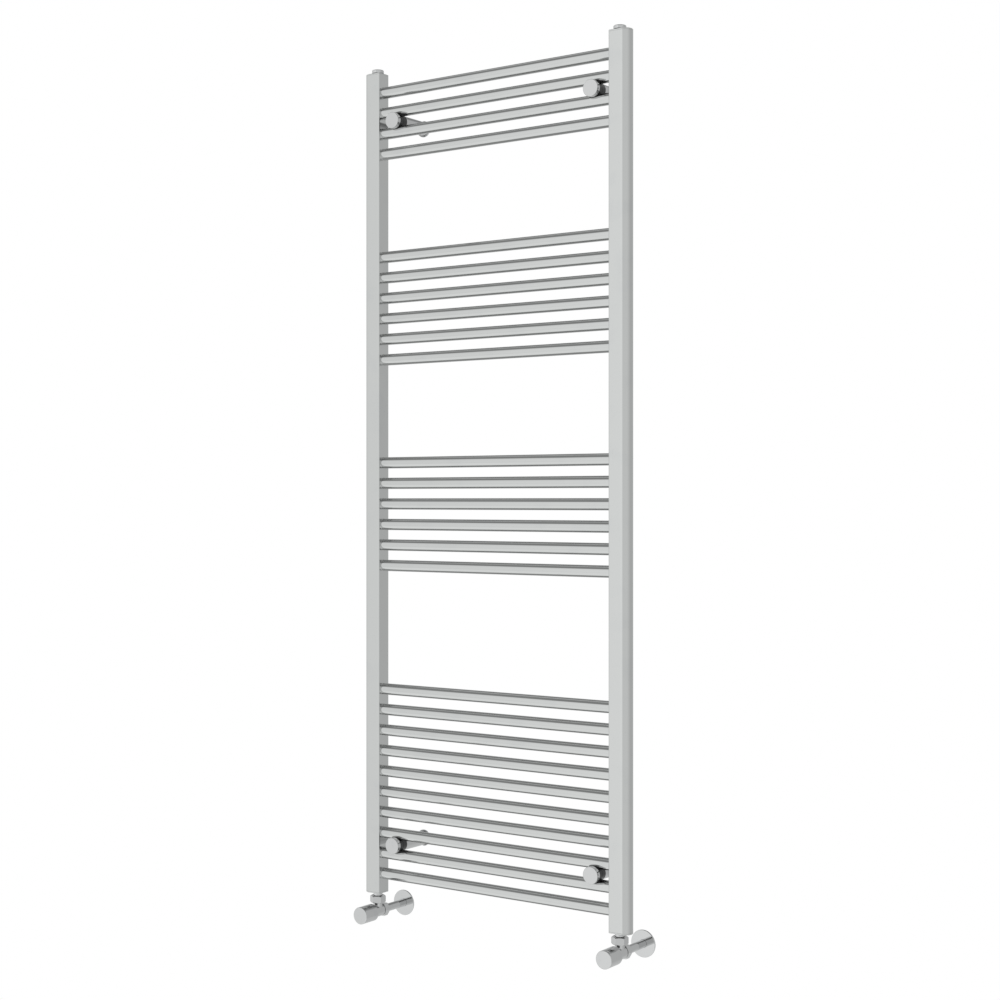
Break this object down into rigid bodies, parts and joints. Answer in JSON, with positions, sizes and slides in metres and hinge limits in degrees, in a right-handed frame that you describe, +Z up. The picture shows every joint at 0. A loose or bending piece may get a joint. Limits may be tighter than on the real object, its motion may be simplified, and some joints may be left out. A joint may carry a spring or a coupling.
{
  "type": "radiator with valve",
  "caption": "Wall-hung ladder towel radiator with D-section uprights, round rungs, stand-off brackets, and an angled handwheel valve and a lockshield valve below.",
  "frame": {"origin": "middle of the four wall fixings, on the wall plane", "axes": "+Z up along the uprights, +Y into the wall along the fixings, +X along the rungs towards the handwheel valve"},
  "size_m": [0.602, 0.1501, 1.6697],
  "materials": {
    "chrome_rail": "polished chrome plate on steel",
    "chrome_fittings": "polished chrome plate on brass and zinc",
    "chrome_pipe": "chromed copper tube and pressed plates",
    "black_clamps": "glossy black nylon",
    "steel_ports": "plain steel",
    "brass": "machined brass",
    "rubber": "black EPDM rubber",
    "steel_screws": "zinc plated steel"
  },
  "bodies": {
    "rail": {"rung_01": "chrome_rail", "rung_02": "chrome_rail", "rung_03": "chrome_rail", "rung_04": "chrome_rail", "rung_05": "chrome_rail", "rung_06": "chrome_rail", "rung_07": "chrome_rail", "rung_08": "chrome_rail", "rung_09": "chrome_rail", "rung_10": "chrome_rail", "rung_11": "chrome_rail", "rung_12": "chrome_rail", "rung_13": "chrome_rail", "rung_14": "chrome_rail", "rung_15": "chrome_rail", "rung_16": "chrome_rail", "rung_17": "chrome_rail", "rung_18": "chrome_rail", "rung_19": "chrome_rail", "rung_20": "chrome_rail", "rung_21": "chrome_rail", "rung_22": "chrome_rail", "rung_23": "chrome_rail", "rung_24": "chrome_rail", "rung_25": "chrome_rail", "rung_26": "chrome_rail", "collector_left": "chrome_rail", "collector_right": "chrome_rail", "collector_end_plates": "chrome_rail", "port_sockets": "steel_ports", "blanking_plug": "chrome_fittings", "vent_plug": "chrome_fittings", "bracket_front_covers": "chrome_fittings", "bracket_posts": "chrome_fittings", "handwheel_valve_body": "chrome_fittings", "lockshield_valve_body": "chrome_fittings", "union_nuts": "chrome_fittings", "compression_nuts": "chrome_fittings", "bracket_front_saddles": "black_clamps", "bracket_rear_saddles": "black_clamps", "pipes": "chrome_pipe", "valve_tails": "chrome_pipe", "olives": "brass", "bonnets": "brass", "plug_o_rings": "rubber", "spindle_seals": "rubber", "bracket_clamp_screws": "steel_screws", "bracket_grub_screws": "steel_screws"},
    "handwheel_and_spindle": {"handwheel": "chrome_fittings", "handwheel_spindle": "brass"},
    "handwheel_jumper_and_washer": {"handwheel_jumper": "brass", "handwheel_seat_washer": "rubber"},
    "lockshield_cover_cap": {"lockshield_cap": "chrome_fittings"},
    "lockshield_key_spindle": {"lockshield_spindle": "brass"},
    "lockshield_jumper_and_washer": {"lockshield_jumper": "brass", "lockshield_seat_washer": "rubber"},
    "vent_bleed_screw": {"bleed_screw": "brass"},
    "wall_cups": {"bracket_wall_cups": "chrome_fittings"},
    "handwheel_wall_plate": {"handwheel_pipe_plate": "chrome_pipe"},
    "lockshield_wall_plate": {"lockshield_pipe_plate": "chrome_pipe"}
  },
  "joints": [
    {"name": "handwheel_turn", "type": "hinge", "parent": "rail", "child": "handwheel_and_spindle", "pos_m": [0.276, -0.083, -0.8366], "axis": [0, 1, 0], "range_deg": [0, 1080]},
    {"name": "handwheel_jumper_slide", "type": "slide", "parent": "rail", "child": "handwheel_jumper_and_washer", "axis": [0, 1, 0], "range_m": [0, 0.00451]},
    {"name": "lockshield_cap_pull", "type": "slide", "parent": "rail", "child": "lockshield_cover_cap", "axis": [0, -1, 0], "range_m": [0, 0.05]},
    {"name": "lockshield_spindle_turn", "type": "hinge", "parent": "rail", "child": "lockshield_key_spindle", "pos_m": [-0.276, -0.083, -0.8366], "axis": [0, 1, 0], "range_deg": [0, 1081]},
    {"name": "lockshield_jumper_slide", "type": "slide", "parent": "rail", "child": "lockshield_jumper_and_washer", "axis": [0, 1, 0], "range_m": [0, 0.0045]},
    {"name": "bleed_screw_turn", "type": "hinge", "parent": "rail", "child": "vent_bleed_screw", "pos_m": [0.276, -0.083, 0.8], "axis": [0, 0, 1], "range_deg": [0, 360]},
    {"name": "bracket_depth_slide", "type": "slide", "parent": "rail", "child": "wall_cups", "axis": [0, 1, 0], "range_m": [0, 0.012]},
    {"name": "handwheel_plate_slide", "type": "slide", "parent": "rail", "child": "handwheel_wall_plate", "axis": [0, -1, 0], "range_m": [0, 0.04]},
    {"name": "lockshield_plate_slide", "type": "slide", "parent": "rail", "child": "lockshield_wall_plate", "axis": [0, -1, 0], "range_m": [0, 0.04]}
  ],
  "couplings": [
    {"joint": "handwheel_jumper_slide", "follows": "handwheel_turn", "m_per_rad": 0.00023873},
    {"joint": "lockshield_spindle_turn", "follows": "lockshield_jumper_slide", "rad_per_m": 4188.8}
  ]
}
